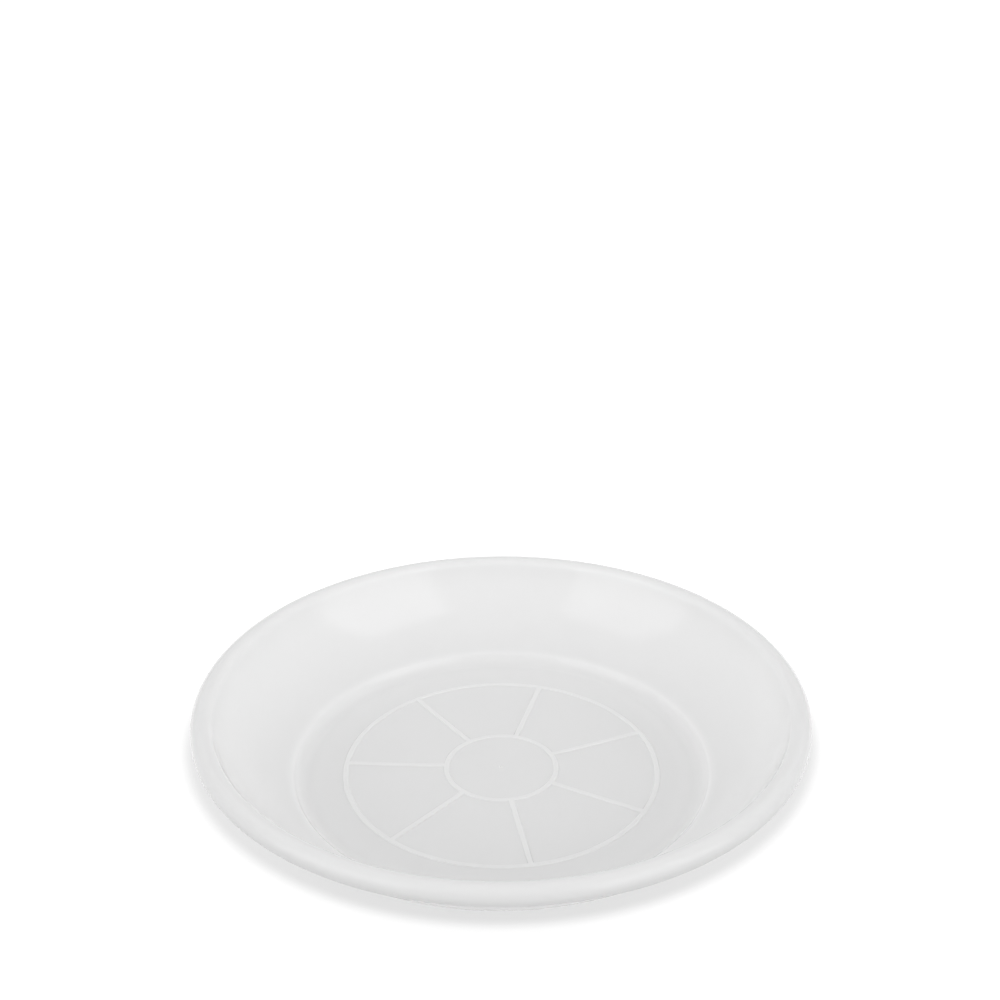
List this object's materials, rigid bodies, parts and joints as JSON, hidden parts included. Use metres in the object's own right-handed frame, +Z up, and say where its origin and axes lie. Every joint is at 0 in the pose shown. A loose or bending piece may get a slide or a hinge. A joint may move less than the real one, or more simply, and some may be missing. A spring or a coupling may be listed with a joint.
{
  "type": "plant saucer",
  "caption": "Shallow round plastic saucer with a rolled rim, a curved wall, a stepped well and low floor ribs that hold a plant pot clear of the drained water.",
  "frame": {"origin": "centre of the foot ring's underside, on the table", "axes": "+Z up along the saucer's axis, +Y away from the viewer of the picture, +X to the viewer's right"},
  "size_m": [0.2, 0.2, 0.033],
  "materials": {
    "white_plastic": "white polypropylene, smooth moulded surface with a soft gloss"
  },
  "bodies": {
    "root": {"saucer": "white_plastic"}
  },
  "joints": []
}
